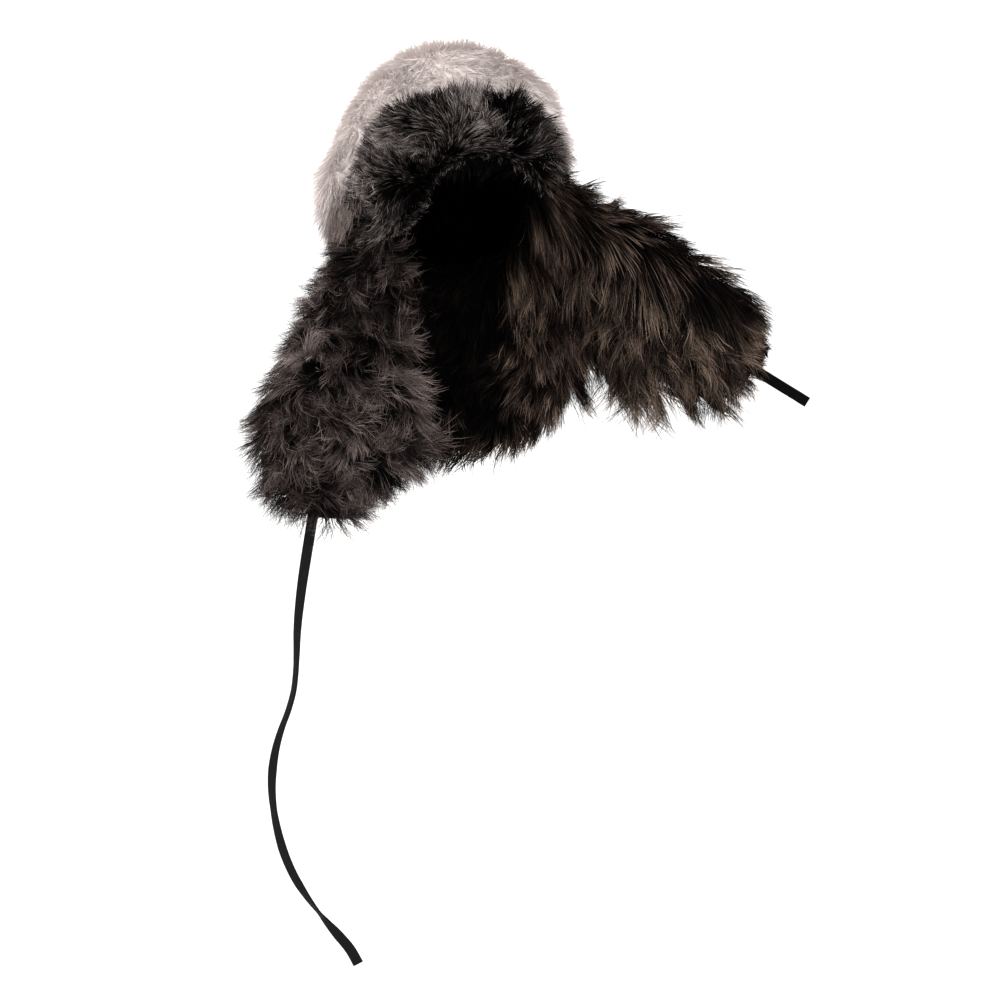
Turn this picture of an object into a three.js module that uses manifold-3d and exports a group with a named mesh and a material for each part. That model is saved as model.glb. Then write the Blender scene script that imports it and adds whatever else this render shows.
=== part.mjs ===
// A shearling trapper hat as it hangs in the air, held by its crown and seen from the front.
// Millimetres, +Z up. The origin is the head seat, where a head would touch the lining's top.
// The worn frame of the hat has +X to its left ear flap, -Y to its front and +Z to its crown.
// The held frame is the same hat tipped back, leaning and turned, as it hangs.
import * as THREE from 'three';
import { mergeVertices } from 'three/addons/utils/BufferGeometryUtils.js';
import Module from 'manifold-3d';

const wasm = await Module();
wasm.setup();

const RADIANS = Math.PI / 180;

// Posture of the worn frame in the held frame, degrees
const TIPPED_BACK = 32;
const LEANING_LEFT = 17;
const TURNED_RIGHT = 20;

// Crown dome to the leather's outer face: it swells from its rim to its belly, then closes
const HALF_WIDTH = 94;
const HALF_DEPTH = 104;
const HEIGHT = 144;
const BELLY_HEIGHT = 34;
const RIM_BELOW_BELLY = 34;
const PLAN_POWER = 2.1;
const PROFILE_POWER = 2.05;

const DOME_SIDES = 25;
const DOME_RINGS = 8;
const BRIM_STATIONS = 12;
const BRIM_SIDES = 10;
const FLAP_STATIONS = 9;
const FLAP_SIDES = 12;
const TIE_SIDES = 8;

// How square the sections are: 1 is an ellipse, 0 is a rectangle
const BRIM_SQUARENESS = 0.8;
const FLAP_SQUARENESS = 0.72;
const TIE_SQUARENESS = 0.6;

// Dents in the crown, a row for each: where its middle lies, how wide and how deep it is
const DENTS = [
  { angle: 12, climb: 0.86, radius: 20, depth: 8 },
  { angle: 118, climb: 0.8, radius: 34, depth: 7 },
];

// Layers
const GAP = 0.3;
const CUT_GAP = 0.4;
const LEATHER = 3;
const CROWN_FUR = 17;
const FUR_UNDER_BRIM = 1;
const LINING_FUR = 13;
const HEM = 4;

// Faces of a cut thinner than this are merged into their neighbours
const SLIVER = 0.05;

const SEAT = new THREE.Vector3(0, 0, HEIGHT - LEATHER - GAP - LINING_FUR);

// Turned-up front brim, a row for each station round the forehead:
// its angle from the front, its height above the crown's rim, how far it hangs below the rim,
// its fur's thickness, and how far its fur spills over the rim into the opening
const BRIM = [
  { angle: -98, height: 22, below: 10, thick: 18, spill: 14 },
  { angle: -80, height: 34, below: 18, thick: 28, spill: 36 },
  { angle: -52, height: 42, below: 16, thick: 31, spill: 38 },
  { angle: -26, height: 42, below: 9, thick: 30, spill: 24 },
  { angle: 0, height: 38, below: 6, thick: 28, spill: 14 },
  { angle: 28, height: 36, below: 6, thick: 25, spill: 12 },
  { angle: 50, height: 34, below: 8, thick: 22, spill: 12 },
  { angle: 64, height: 24, below: 8, thick: 15, spill: 8 },
];

// Flaps: where each is sewn round the rim, in degrees from the front, and then a row for each
// section down its middle, in the held frame: the section's middle, its half width, the lean
// of its width in the picture plane, its turn out of that plane, the fur's depth on its inner
// and outer side, and how far its middle bows towards its inner side
const LEFT_FLAP = {
  sewn: [-66, -138],
  rows: [
    { x: -62, y: -38, z: -174, half: 58, lean: -34, turn: 26, inner: 24, outer: 14, bow: -10 },
    { x: -74, y: -48, z: -222, half: 66, lean: -22, turn: 18, inner: 29, outer: 14, bow: -10 },
    { x: -79, y: -56, z: -268, half: 81, lean: -17, turn: 12, inner: 31, outer: 14, bow: -8 },
    { x: -83, y: -58, z: -306, half: 89, lean: -10, turn: 8, inner: 30, outer: 14, bow: -6 },
    { x: -92, y: -58, z: -341, half: 71, lean: -4, turn: 6, inner: 24, outer: 12, bow: -4 },
    { x: -94, y: -58, z: -365, half: 44, lean: 0, turn: 6, inner: 18, outer: 10, bow: 0 },
    { x: -94, y: -58, z: -378, half: 23, lean: 0, turn: 6, inner: 10, outer: 7, bow: 0 },
  ],
};
const RIGHT_FLAP = {
  sewn: [136, 56],
  rows: [
    { x: 134, y: -22, z: -154, half: 94, lean: 71, turn: -34, inner: 22, outer: 14, bow: -10 },
    { x: 176, y: -34, z: -169, half: 83, lean: 66, turn: -22, inner: 27, outer: 14, bow: -8 },
    { x: 215, y: -38, z: -188, half: 71, lean: 61, turn: -14, inner: 28, outer: 14, bow: -8 },
    { x: 252, y: -42, z: -210, half: 65, lean: 60, turn: -10, inner: 28, outer: 14, bow: -6 },
    { x: 284, y: -42, z: -224, half: 51, lean: 58, turn: -8, inner: 24, outer: 12, bow: -4 },
    { x: 303, y: -42, z: -234, half: 33, lean: 55, turn: -6, inner: 18, outer: 10, bow: 0 },
    { x: 312, y: -42, z: -238, half: 16, lean: 54, turn: -6, inner: 10, outer: 7, bow: 0 },
  ],
};
const NECK_FLAP = {
  sewn: [222, 138],
  rows: [
    { x: 42, y: -2, z: -213, half: 84, lean: 16, turn: 4, inner: 20, outer: 14, bow: -24 },
    { x: 59, y: -6, z: -252, half: 87, lean: 17, turn: 4, inner: 22, outer: 14, bow: -18 },
    { x: 66, y: -8, z: -278, half: 77, lean: 17, turn: 4, inner: 20, outer: 13, bow: -12 },
    { x: 68, y: -8, z: -297, half: 56, lean: 17, turn: 4, inner: 15, outer: 10, bow: -6 },
    { x: 68, y: -8, z: -308, half: 34, lean: 17, turn: 4, inner: 9, outer: 7, bow: 0 },
  ],
};
const SEWN_DEPTH = 15;
const SEWN_RISE = 2;

// Ties, flat straps: a hand-chosen route for each in the held frame, from the flap's leather
// edge inside its fur to the strap's free end, one point a row: x, y, z
const TIE_WIDTH = 10;
const TIE_THICKNESS = 2.6;
const TIE_STEP = 24;
const LEFT_TIE_ROUTE = [
  [-101.5, -58, -358], [-104.3, -58.5, -376], [-107.4, -59.2, -396], [-110.7, -60, -417],
  [-114.2, -61, -441], [-116.9, -62, -465], [-118.2, -63, -483], [-118.6, -64, -501],
  [-119.4, -64, -519], [-121.6, -63, -537], [-126.6, -61.5, -555], [-133, -60, -572],
  [-138.2, -59, -590], [-141.3, -58.5, -609], [-142, -58.5, -628], [-140, -59, -648],
  [-136, -59.5, -668], [-130, -60, -688], [-121, -60.5, -708], [-109, -61, -727],
  [-95, -61.5, -745], [-81, -62, -761], [-70, -62, -774], [-62, -62, -788],
];
const RIGHT_TIE_ROUTE = [
  [272, -42, -219.5], [278.4, -42.1, -223.4], [284.8, -42.2, -227.4], [291.2, -42.4, -231.4],
  [297.6, -42.6, -235.4], [304, -42.8, -239.4], [310.4, -43, -243.4], [316.8, -43.2, -247.3],
  [323.2, -43.4, -251.2], [329.5, -43.6, -255.1], [335.8, -43.8, -259], [342, -44, -262.8],
  [346, -44.1, -265.3], [350, -44.2, -267.8], [354, -44.3, -270.3],
];

// Locks of fur, a row for each ring of them: how far along the piece it lies (up the crown,
// down a flap, round the brim's section), how many locks it has, and their length, width and
// lift off the surface in degrees
const CROWN_LOCKS = [
  { place: 0.07, count: 12, length: 58, width: 46, lift: 20 },
  { place: 0.23, count: 12, length: 58, width: 48, lift: 21 },
  { place: 0.39, count: 11, length: 60, width: 48, lift: 24 },
  { place: 0.55, count: 9, length: 60, width: 46, lift: 28 },
  { place: 0.71, count: 8, length: 56, width: 44, lift: 31 },
  { place: 0.86, count: 6, length: 54, width: 42, lift: 38 },
];
const BRIM_LOCKS = [
  { place: 0.86, count: 9, length: 50, width: 38, lift: 24 },
  { place: 0.98, count: 9, length: 52, width: 38, lift: 24 },
  { place: 0.12, count: 9, length: 52, width: 36, lift: 26 },
];
const LEFT_FLAP_LOCKS = [
  { place: 0.2, count: 7, length: 56, width: 40, lift: 22 },
  { place: 0.36, count: 8, length: 56, width: 42, lift: 22 },
  { place: 0.52, count: 8, length: 56, width: 44, lift: 22 },
  { place: 0.68, count: 8, length: 56, width: 44, lift: 22 },
  { place: 0.84, count: 7, length: 50, width: 40, lift: 22 },
  { place: 0.96, count: 5, length: 38, width: 30, lift: 22 },
];
const RIGHT_FLAP_LOCKS = [
  { place: 0.14, count: 7, length: 76, width: 42, lift: 20 },
  { place: 0.3, count: 8, length: 80, width: 42, lift: 20 },
  { place: 0.46, count: 8, length: 80, width: 42, lift: 20 },
  { place: 0.62, count: 8, length: 84, width: 40, lift: 20 },
  { place: 0.78, count: 7, length: 74, width: 36, lift: 20 },
  { place: 0.93, count: 5, length: 56, width: 30, lift: 20 },
];
const NECK_FLAP_LOCKS = [
  { place: 0.36, count: 8, length: 58, width: 42, lift: 22 },
  { place: 0.6, count: 8, length: 58, width: 44, lift: 22 },
  { place: 0.84, count: 8, length: 54, width: 40, lift: 22 },
];
const LOCK_FLATNESS = 2.6;
const LOCK_WIDEST = 0.36;
const LOCK_DROOP = 0.08;
const LOCK_AT_EDGE = 0.6;

const heldFromWorn = new THREE.Matrix4()
  .makeRotationFromEuler(
    new THREE.Euler(-TIPPED_BACK * RADIANS, -LEANING_LEFT * RADIANS, TURNED_RIGHT * RADIANS, 'YXZ'),
  )
  .multiply(new THREE.Matrix4().makeTranslation(-SEAT.x, -SEAT.y, -SEAT.z));
const wornFromHeld = heldFromWorn.clone().invert();

function signedPower(value, power) {
  return Math.sign(value) * Math.abs(value) ** power;
}

// The dome's girth, as a share of its belly, and its height, at a climb from 0 at the rim to
// 1 at the top; above the belly the height grows with the offset out of the leather's face
function domeProfile(climb, out) {
  const turn = (climb * (90 + RIM_BELOW_BELLY) - RIM_BELOW_BELLY) * RADIANS;
  const girth = Math.max(Math.cos(turn), 0) ** (2 / PROFILE_POWER);
  const rise = Math.sin(turn);
  if (rise < 0) {
    const drop = (-rise / Math.sin(RIM_BELOW_BELLY * RADIANS)) ** (2 / PROFILE_POWER);
    return { girth, height: BELLY_HEIGHT * (1 - drop) };
  }
  const height = BELLY_HEIGHT + (HEIGHT + out - BELLY_HEIGHT) * rise ** (2 / PROFILE_POWER);
  return { girth, height };
}

// The smooth dome at an angle round the rim (0 at the front) and a climb, moved out of the leather
function smoothDomePoint(angle, climb, out) {
  const { girth, height } = domeProfile(climb, out);
  const aside = out * Math.min(1, 3 * girth);
  return new THREE.Vector3(
    (HALF_WIDTH * girth + aside) * signedPower(Math.sin(angle), 2 / PLAN_POWER),
    -(HALF_DEPTH * girth + aside) * signedPower(Math.cos(angle), 2 / PLAN_POWER),
    height,
  );
}

// The dome with its dents, which push every layer in alike
function domePoint(angle, climb, out) {
  const point = smoothDomePoint(angle, climb, out);
  const onLeather = smoothDomePoint(angle, climb, 0);
  const inward = new THREE.Vector3(0, 0, BELLY_HEIGHT).sub(onLeather).normalize();
  for (const dent of DENTS) {
    const middle = smoothDomePoint(dent.angle * RADIANS, dent.climb, 0);
    const away = onLeather.distanceTo(middle) / dent.radius;
    point.addScaledVector(inward, dent.depth * Math.exp(-away * away));
  }
  return point;
}

// The climb at which the leather has a given height
function climbAt(height) {
  let low = 0;
  let high = 1;
  for (let halving = 0; halving < 20; halving += 1) {
    const middle = (low + high) / 2;
    if (domeProfile(middle, 0).height < height) {
      low = middle;
    } else {
      high = middle;
    }
  }
  return low;
}

// The row of a table at a place between 0 and 1 along it, each column on a smooth curve
function rowAt(rows, along) {
  const place = THREE.MathUtils.clamp(along, 0, 1) * (rows.length - 1);
  const before = Math.min(Math.floor(place), rows.length - 2);
  const share = place - before;
  const cube = share ** 3;
  const square = share ** 2;
  const row = {};
  for (const column of Object.keys(rows[0])) {
    const at = (index) => rows[THREE.MathUtils.clamp(index, 0, rows.length - 1)][column];
    row[column] =
      (2 * cube - 3 * square + 1) * at(before) +
      (cube - 2 * square + share) * ((at(before + 1) - at(before - 1)) / 2) +
      (3 * square - 2 * cube) * at(before + 1) +
      (cube - square) * ((at(before + 2) - at(before)) / 2);
  }
  return row;
}

// A closed skin over rings of points; the first and the last ring are a single point each
function skin(rings) {
  const positions = rings.flat().flatMap((point) => point.toArray());
  const index = [];
  const around = rings[1].length;
  let start = 0;
  for (let row = 0; row + 1 < rings.length; row += 1) {
    const next = start + rings[row].length;
    for (let side = 0; side < around; side += 1) {
      const turned = (side + 1) % around;
      if (row > 0) {
        index.push(start + side, next + (row + 2 < rings.length ? side : 0), start + turned);
      }
      if (row + 2 < rings.length) {
        index.push(start + (row > 0 ? turned : 0), next + side, next + turned);
      }
    }
    start = next;
  }
  const geometry = new THREE.BufferGeometry();
  geometry.setAttribute('position', new THREE.Float32BufferAttribute(positions, 3));
  geometry.setIndex(index);
  return geometry;
}

// The solid that a closed geometry bounds, whichever way its faces were wound
function solidOf(geometry) {
  const bare = geometry.clone();
  bare.deleteAttribute('normal');
  bare.deleteAttribute('uv');
  const merged = mergeVertices(bare, 1e-4);
  const corners = Uint32Array.from(merged.index.array);
  const build = () =>
    new wasm.Manifold(
      new wasm.Mesh({
        numProp: 3,
        vertProperties: Float32Array.from(merged.attributes.position.array),
        triVerts: corners,
      }),
    );
  const solid = build();
  if (solid.volume() > 0) {
    return solid;
  }
  for (let corner = 0; corner < corners.length; corner += 3) {
    [corners[corner], corners[corner + 1]] = [corners[corner + 1], corners[corner]];
  }
  return build();
}

function geometryOf(solid) {
  const mesh = solid.simplify(SLIVER).getMesh();
  const geometry = new THREE.BufferGeometry();
  geometry.setAttribute('position', new THREE.Float32BufferAttribute(mesh.vertProperties, 3));
  geometry.setIndex(Array.from(mesh.triVerts));
  geometry.computeVertexNormals();
  return geometry;
}

function largestPart(solid) {
  return solid.decompose().reduce((best, part) => (part.volume() > best.volume() ? part : best));
}

// A number between 0 and 1 that looks random and is the same every time
function scatter(seed) {
  const wave = Math.sin(seed * 127.1 + 311.7) * 43758.5453;
  return wave - Math.floor(wave);
}

// A lock of fur, pointed at both ends: it is widest where it leaves the surface, its root is
// buried and its tip lifts off along the comb
function lock({ point, normal, comb, length, width, lift, grow }) {
  const along = comb.clone();
  if (comb.dot(normal) < Math.sin(lift * RADIANS)) {
    along.addScaledVector(normal, -comb.dot(normal)).setLength(Math.cos(lift * RADIANS));
    along.addScaledVector(normal, Math.sin(lift * RADIANS));
  }
  const side = new THREE.Vector3().crossVectors(along, normal).normalize();
  const up = new THREE.Vector3().crossVectors(side, along);
  const leaf = new THREE.OctahedronGeometry(1, 0);
  const corners = leaf.attributes.position;
  for (let corner = 0; corner < corners.count; corner += 1) {
    const end = corners.getY(corner);
    const reach = end > 0 ? end * (1 - LOCK_WIDEST) : end * LOCK_WIDEST;
    const spot = point
      .clone()
      .addScaledVector(along, reach * (length + 6 * grow))
      .addScaledVector(side, corners.getX(corner) * (width / 2 + 2 * grow))
      .addScaledVector(up, corners.getZ(corner) * (width / 2 / LOCK_FLATNESS + 2 * grow))
      .addScaledVector(normal, -LOCK_DROOP * length * Math.max(end, 0));
    corners.setXYZ(corner, spot.x, spot.y, spot.z);
  }
  return solidOf(leaf);
}

// A point on a surface of two numbers, with its normal turned by a sign
function spotOn(surface, first, second, sign) {
  const step = 0.004;
  const point = surface(first, second);
  const one = surface(first + step, second).sub(surface(first - step, second));
  const two = surface(first, second + step).sub(surface(first, second - step));
  const normal = new THREE.Vector3().crossVectors(one, two).setLength(sign);
  return { point, normal };
}

// The sign that turns a surface's normals outward, all over it, found at one spot of it
function outwardSign(surface, first, second, inside) {
  const { point, normal } = spotOn(surface, first, second, 1);
  return Math.sign(normal.dot(point.sub(inside)));
}

// The crown's fur stands off its leather, but is flat where the turned-up brim covers it
function crownFur(angle, climb) {
  const degrees = THREE.MathUtils.euclideanModulo(angle / RADIANS + 180, 360) - 180;
  const brimAngles = BRIM.map((row) => row.angle);
  const along = (degrees - brimAngles[0]) / (brimAngles.at(-1) - brimAngles[0]);
  const row = rowAt(BRIM, along);
  const height = domeProfile(climb, 0).height;
  const aside = THREE.MathUtils.smoothstep(Math.abs(along - 0.5), 0.44, 0.54);
  const above = THREE.MathUtils.smoothstep(height, row.height - 14, row.height + 2);
  return THREE.MathUtils.lerp(FUR_UNDER_BRIM, CROWN_FUR, Math.max(aside, above));
}

// A dome shell between two offsets from the leather's face, its hem a little below the rim.
// The rings go down the first face and up the second, so that a shell listed the other way
// round has the same facets where it faces this one
function domeShell({ first, second, grow }) {
  const away = Math.sign(first(0, 1) - second(0, 1)) * grow;
  const firstFace = (angle, climb) => first(angle, climb) + away;
  const secondFace = (angle, climb) => second(angle, climb) - away;
  const angles = [];
  for (let side = 0; side < DOME_SIDES; side += 1) {
    angles.push((side / DOME_SIDES) * 2 * Math.PI);
  }
  const ringAt = (climb, offset) =>
    angles.map((angle) => domePoint(angle, climb, offset(angle, climb)));
  const hem = (offset) => ringAt(0, offset).map((point) => point.setZ(-HEM - grow));
  const rings = [[domePoint(0, 1, firstFace(0, 1))]];
  for (let row = DOME_RINGS - 1; row >= 0; row -= 1) {
    rings.push(ringAt(row / DOME_RINGS, firstFace));
  }
  rings.push(hem((angle) => firstFace(angle, 0) - (first(angle, 0) - second(angle, 0)) / 4));
  rings.push(hem(secondFace));
  for (let row = 0; row < DOME_RINGS; row += 1) {
    rings.push(ringAt(row / DOME_RINGS, secondFace));
  }
  rings.push([domePoint(0, 1, secondFace(0, 1))]);
  return skin(rings);
}

// The table row of a flap's sewn edge, worked out from the rim that it is sewn to
function sewnRow([from, to]) {
  const rimAt = (degrees) => {
    const point = domePoint(degrees * RADIANS, 0, -LEATHER).setZ(SEWN_RISE);
    return point.applyMatrix4(heldFromWorn);
  };
  const start = rimAt(from);
  const end = rimAt(to);
  const middle = start.clone().add(end).multiplyScalar(0.5);
  const width = end.clone().sub(start);
  const half = width.length() / 2;
  width.normalize();
  const bulge = rimAt((from + to) / 2).sub(middle);
  return {
    x: middle.x,
    y: middle.y,
    z: middle.z,
    half,
    lean: Math.atan2(width.z, width.x) / RADIANS,
    turn: Math.asin(width.y) / RADIANS,
    inner: SEWN_DEPTH,
    outer: SEWN_DEPTH,
    bow: -bulge.length(),
  };
}

// A point of a flap's fur in the worn frame: along from the rim to the tip, around from one
// edge (0) over the inner face (a quarter) to the other edge (a half) and back outside
function flapPoint(rows, along, around, grow) {
  const row = rowAt(rows, along);
  const ahead = rowAt(rows, along + 0.02);
  const behind = rowAt(rows, along - 0.02);
  const width = new THREE.Vector3(
    Math.cos(row.lean * RADIANS) * Math.cos(row.turn * RADIANS),
    Math.sin(row.turn * RADIANS),
    Math.sin(row.lean * RADIANS) * Math.cos(row.turn * RADIANS),
  );
  const down = new THREE.Vector3(ahead.x - behind.x, ahead.y - behind.y, ahead.z - behind.z);
  const face = new THREE.Vector3().crossVectors(down, width).normalize();
  const turn = around * 2 * Math.PI;
  const across = signedPower(Math.cos(turn), FLAP_SQUARENESS);
  const depth = signedPower(Math.sin(turn), FLAP_SQUARENESS);
  const thick = depth > 0 ? row.inner : row.outer;
  return new THREE.Vector3(row.x, row.y, row.z)
    .addScaledVector(width, across * (row.half + grow))
    .addScaledVector(face, depth * (thick + grow) + row.bow * (1 - across * across))
    .applyMatrix4(wornFromHeld);
}

function middleOf(ring) {
  return ring.reduce((sum, point) => sum.add(point), new THREE.Vector3()).divideScalar(ring.length);
}

// Moves an end ring of a sweep away from its neighbour, along the sweep
function lengthenEnd(ring, neighbour, grow) {
  const outward = middleOf(ring).sub(middleOf(neighbour)).setLength(grow);
  ring.forEach((point) => point.add(outward));
}

// A closed skin over a surface given by along and around, flat at both its ends
function closedSweep(surface, stations, around, grow) {
  const rings = [];
  for (let station = 0; station <= stations; station += 1) {
    const ring = [];
    for (let side = 0; side < around; side += 1) {
      ring.push(surface(station / stations, side / around));
    }
    rings.push(ring);
  }
  lengthenEnd(rings[0], rings[1], grow);
  lengthenEnd(rings.at(-1), rings.at(-2), grow);
  return skin([[middleOf(rings[0])], ...rings, [middleOf(rings.at(-1))]]);
}

// A point of the brim's fur: along from one temple to the other, around its section
function brimPoint(along, around, grow) {
  const row = rowAt(BRIM, along);
  const turn = around * 2 * Math.PI;
  const tall = (row.height + row.below) / 2;
  const height = tall - row.below + signedPower(Math.sin(turn), BRIM_SQUARENESS) * (tall + grow);
  const spill = row.spill * THREE.MathUtils.smoothstep(-height, -16, row.below / 2);
  const thick = (row.thick + spill) / 2;
  const out = row.thick - thick + signedPower(Math.cos(turn), BRIM_SQUARENESS) * (thick + grow);
  const point = domePoint(row.angle * RADIANS, climbAt(height), out);
  return height < 0 ? point.setZ(height) : point;
}

// Down in the held frame, as the worn frame has it: the way that long fur hangs
const DOWN = new THREE.Vector3(0, 0, -1).transformDirection(wornFromHeld);

// Rings of locks on a surface, every other ring half a step round, each lock a little shaken
function ringsOfLocks(table, spotAt, combOf, grow) {
  return table.flatMap((row, ring) =>
    Array.from({ length: row.count }, (unused, place) => {
      const seed = ring * 31 + place * 7;
      const share = (place + 0.5 * (ring % 2) + 0.3 * scatter(seed)) / row.count;
      const spot = spotAt(row.place + 0.03 * (scatter(seed + 1) - 0.5), share);
      const length = row.length * (0.88 + 0.24 * scatter(seed + 2));
      const width = row.width * (spot?.narrow ?? 1);
      const shape = { ...spot, length, width, lift: row.lift, grow };
      return spot ? lock({ ...shape, comb: combOf(spot) }) : null;
    }).filter(Boolean),
  );
}

function fuse(base, locks) {
  return largestPart(wasm.Manifold.union([base, ...locks]));
}

function crownLocks(grow) {
  const heart = new THREE.Vector3(0, 0, BELLY_HEIGHT);
  const surface = (angle, climb) => domePoint(angle, climb, crownFur(angle, climb));
  const sign = outwardSign(surface, Math.PI, 0.4, heart);
  const spotAt = (climb, share) => {
    const angle = share * 2 * Math.PI;
    const bare = crownFur(angle, climb - 0.06) < CROWN_FUR - 1;
    return bare ? null : spotOn(surface, angle, climb, sign);
  };
  return ringsOfLocks(CROWN_LOCKS, spotAt, () => new THREE.Vector3(0, 0, -1), grow);
}

function buildCrown(grow) {
  const shell = domeShell({ first: crownFur, second: () => -LEATHER, grow });
  return fuse(solidOf(shell), crownLocks(grow));
}

function buildLining(grow) {
  const first = () => -LEATHER - GAP - LINING_FUR;
  const second = () => -LEATHER - GAP;
  return solidOf(domeShell({ first, second, grow }));
}

function buildBrim(grow) {
  const surface = (along, around) => brimPoint(along, around, 0);
  const grown = (along, around) => brimPoint(along, around, grow);
  const sign = outwardSign(surface, 0.5, 0.25, surface(0.5, 0.75));
  const spotAt = (around, share) => spotOn(surface, 0.04 + 0.93 * share, around, sign);
  const locks = ringsOfLocks(BRIM_LOCKS, spotAt, () => new THREE.Vector3(0, 0, 1), grow);
  return fuse(solidOf(closedSweep(grown, BRIM_STATIONS, BRIM_SIDES, grow)), locks);
}

function buildFlap({ sewn, rows }, table, grow) {
  const all = [sewnRow(sewn), ...rows];
  const surface = (along, around) => flapPoint(all, along, around, 0);
  const grown = (along, around) => flapPoint(all, along, around, grow);
  const sign = outwardSign(surface, 0.5, 0.25, surface(0.5, 0.75));
  const spotAt = (along, share) => {
    const tipward = surface(along + 0.02, share).sub(surface(along - 0.02, share)).normalize();
    const edge = Math.abs(Math.cos(share * 2 * Math.PI));
    const narrow = THREE.MathUtils.lerp(1, LOCK_AT_EDGE, THREE.MathUtils.smoothstep(edge, 0.6, 0.95));
    return { ...spotOn(surface, along, share, sign), tipward, narrow };
  };
  const combOf = ({ tipward }) => tipward.clone().multiplyScalar(0.4).add(DOWN).normalize();
  const locks = ringsOfLocks(table, spotAt, combOf, grow);
  return fuse(solidOf(closedSweep(grown, FLAP_STATIONS, FLAP_SIDES, grow)), locks);
}

// A flat strap along its route in the held frame; grown, it starts a little earlier too
function tieGeometry(route, grow) {
  const points = route.map(([x, y, z]) => new THREE.Vector3(x, y, z));
  const start = points[0].clone().sub(points[1]).setLength(grow);
  points[0].add(start);
  const path = new THREE.CatmullRomCurve3(points);
  const section = new THREE.Shape();
  for (let corner = 0; corner < TIE_SIDES; corner += 1) {
    const turn = ((corner + 0.5) / TIE_SIDES) * 2 * Math.PI;
    const x = signedPower(Math.cos(turn), TIE_SQUARENESS) * (TIE_THICKNESS / 2 + grow);
    const y = signedPower(Math.sin(turn), TIE_SQUARENESS) * (TIE_WIDTH / 2 + grow);
    if (corner === 0) {
      section.moveTo(x, y);
    } else {
      section.lineTo(x, y);
    }
  }
  const steps = Math.ceil(path.getLength() / TIE_STEP);
  return new THREE.ExtrudeGeometry(section, { steps, extrudePath: path, bevelEnabled: false });
}

function tieSlot(route) {
  return solidOf(tieGeometry(route, GAP).applyMatrix4(wornFromHeld));
}

const crown = buildCrown(0);
const lining = buildLining(0);
const crownCutter = buildCrown(CUT_GAP).add(buildLining(CUT_GAP));
const brim = largestPart(buildBrim(0).subtract(crownCutter));
const brimCutter = crownCutter.add(buildBrim(CUT_GAP));
const neckFlap = largestPart(buildFlap(NECK_FLAP, NECK_FLAP_LOCKS, 0).subtract(brimCutter));
const neckCutter = brimCutter.add(buildFlap(NECK_FLAP, NECK_FLAP_LOCKS, CUT_GAP));
const leftFlap = largestPart(
  buildFlap(LEFT_FLAP, LEFT_FLAP_LOCKS, 0).subtract(neckCutter).subtract(tieSlot(LEFT_TIE_ROUTE)),
);
const rightFlap = largestPart(
  buildFlap(RIGHT_FLAP, RIGHT_FLAP_LOCKS, 0).subtract(neckCutter).subtract(tieSlot(RIGHT_TIE_ROUTE)),
);

const FUR_ROUGHNESS = 0.95;
const STRAP_ROUGHNESS = 0.7;

function namedMesh(name, geometry, color, roughness) {
  const material = new THREE.MeshStandardMaterial({ color, roughness, metalness: 0 });
  const mesh = new THREE.Mesh(geometry, material);
  mesh.name = name;
  return mesh;
}

const wornPieces = new THREE.Group();
heldFromWorn.decompose(wornPieces.position, wornPieces.quaternion, wornPieces.scale);
wornPieces.add(
  namedMesh('crown', geometryOf(crown), 0xc8bbb7, FUR_ROUGHNESS),
  namedMesh('crown_lining', geometryOf(lining), 0x1c1716, FUR_ROUGHNESS),
  namedMesh('front_brim', geometryOf(brim), 0x3a3332, FUR_ROUGHNESS),
  namedMesh('left_ear_flap', geometryOf(leftFlap), 0x35302f, FUR_ROUGHNESS),
  namedMesh('right_ear_flap', geometryOf(rightFlap), 0x2d2521, FUR_ROUGHNESS),
  namedMesh('neck_flap', geometryOf(neckFlap), 0x332d2b, FUR_ROUGHNESS),
);

const hat = new THREE.Group();
hat.add(
  wornPieces,
  namedMesh('left_tie', tieGeometry(LEFT_TIE_ROUTE, 0), 0x18181a, STRAP_ROUGHNESS),
  namedMesh('right_tie', tieGeometry(RIGHT_TIE_ROUTE, 0), 0x18181a, STRAP_ROUGHNESS),
);

export default hat;
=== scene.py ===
"""A shearling trapper hat, held up by its crown, with deep fur grown strand by strand.

Left and right are the photo's. Shapes are worked out in millimetres in the held frame, +Z up
and -Y to the viewer, and become metres where a mesh is made. The worn frame, before the hat is
tipped, has +X to the right ear flap, -Y to the front and +Z to the crown. Angles round the
crown are degrees from its front towards the right ear flap.

A surface is a function of two numbers from 0 to 1, along and around. The dome's go from its
top to its rim, and round it. A flap's go from its sewn edge to its tip, and from one edge at 0
by the furry inside at 0.25 and the other edge at 0.5 to the outside at 0.75. The brim's go from
its left end to its right end, and from its face at 0 by its top to the crown and its underside.
"""

import math

import bpy
import numpy as np
from mathutils import Matrix


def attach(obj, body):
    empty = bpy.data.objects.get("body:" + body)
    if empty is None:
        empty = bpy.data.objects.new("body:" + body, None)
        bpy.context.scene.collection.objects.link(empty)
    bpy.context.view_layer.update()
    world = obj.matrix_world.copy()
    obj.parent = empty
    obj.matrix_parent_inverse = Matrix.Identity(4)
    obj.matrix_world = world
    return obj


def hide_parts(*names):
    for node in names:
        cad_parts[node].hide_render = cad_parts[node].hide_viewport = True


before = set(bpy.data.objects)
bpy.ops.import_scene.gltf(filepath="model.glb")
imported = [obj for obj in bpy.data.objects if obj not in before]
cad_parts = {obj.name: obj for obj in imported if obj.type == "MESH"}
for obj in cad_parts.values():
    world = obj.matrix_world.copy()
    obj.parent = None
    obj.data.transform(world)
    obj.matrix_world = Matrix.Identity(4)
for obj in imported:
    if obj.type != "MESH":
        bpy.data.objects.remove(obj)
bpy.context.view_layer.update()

METRES = 0.001
FULL_TURN = 2 * np.pi
DOWN = np.array([0.0, 0.0, -1.0])
SEED = 20

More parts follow.
